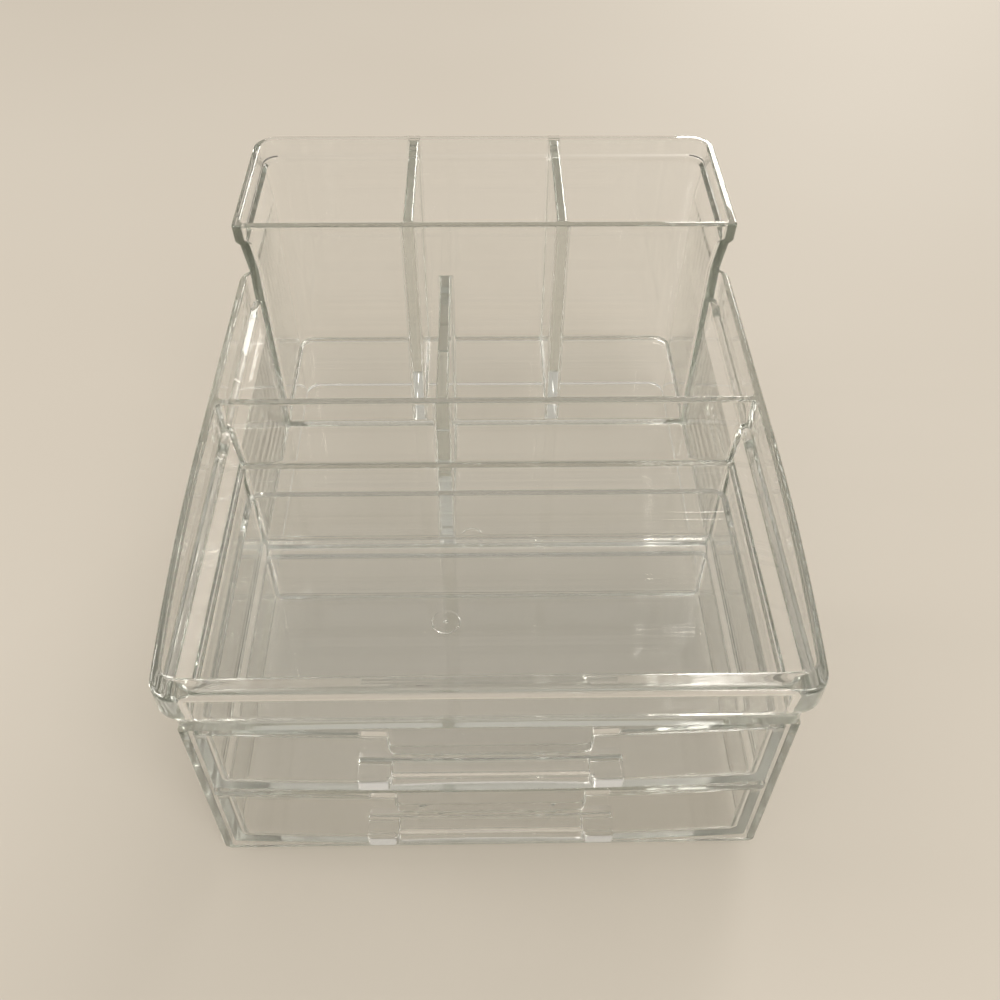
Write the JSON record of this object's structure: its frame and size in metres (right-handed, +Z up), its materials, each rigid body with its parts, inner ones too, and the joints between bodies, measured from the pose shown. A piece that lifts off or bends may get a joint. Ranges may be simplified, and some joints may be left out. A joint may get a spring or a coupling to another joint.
{
  "type": "makeup organizer",
  "caption": "Clear plastic makeup organizer with a shallow open tray over sliding drawers, and open middle and tall rear compartments behind it.",
  "frame": {"origin": "under the middle of the organizer's overall box, on the surface it stands on", "axes": "+X to the right seen from the front, +Y to the back, +Z up; the drawers pull out along -Y"},
  "size_m": [0.249, 0.3364, 0.174],
  "materials": {
    "clear_body": "injection moulded, clear, polished",
    "clear_panel": "clear panel, polished faces",
    "clear_drawer": "injection moulded, clear, polished"
  },
  "bodies": {
    "body": {"tray_and_bays": "clear_body", "drawer_housing": "clear_body", "drawer_shelf": "clear_panel", "middle_divider": "clear_panel", "rear_divider_left": "clear_panel", "rear_divider_right": "clear_panel"},
    "upper_drawer": {"upper_drawer": "clear_drawer"},
    "lower_drawer": {"lower_drawer": "clear_drawer"}
  },
  "joints": [
    {"name": "upper_drawer_slide", "type": "slide", "parent": "body", "child": "upper_drawer", "axis": [0, -1, 0], "range_m": [0, 0.12]},
    {"name": "lower_drawer_slide", "type": "slide", "parent": "body", "child": "lower_drawer", "axis": [0, -1, 0], "range_m": [0, 0.12]}
  ]
}
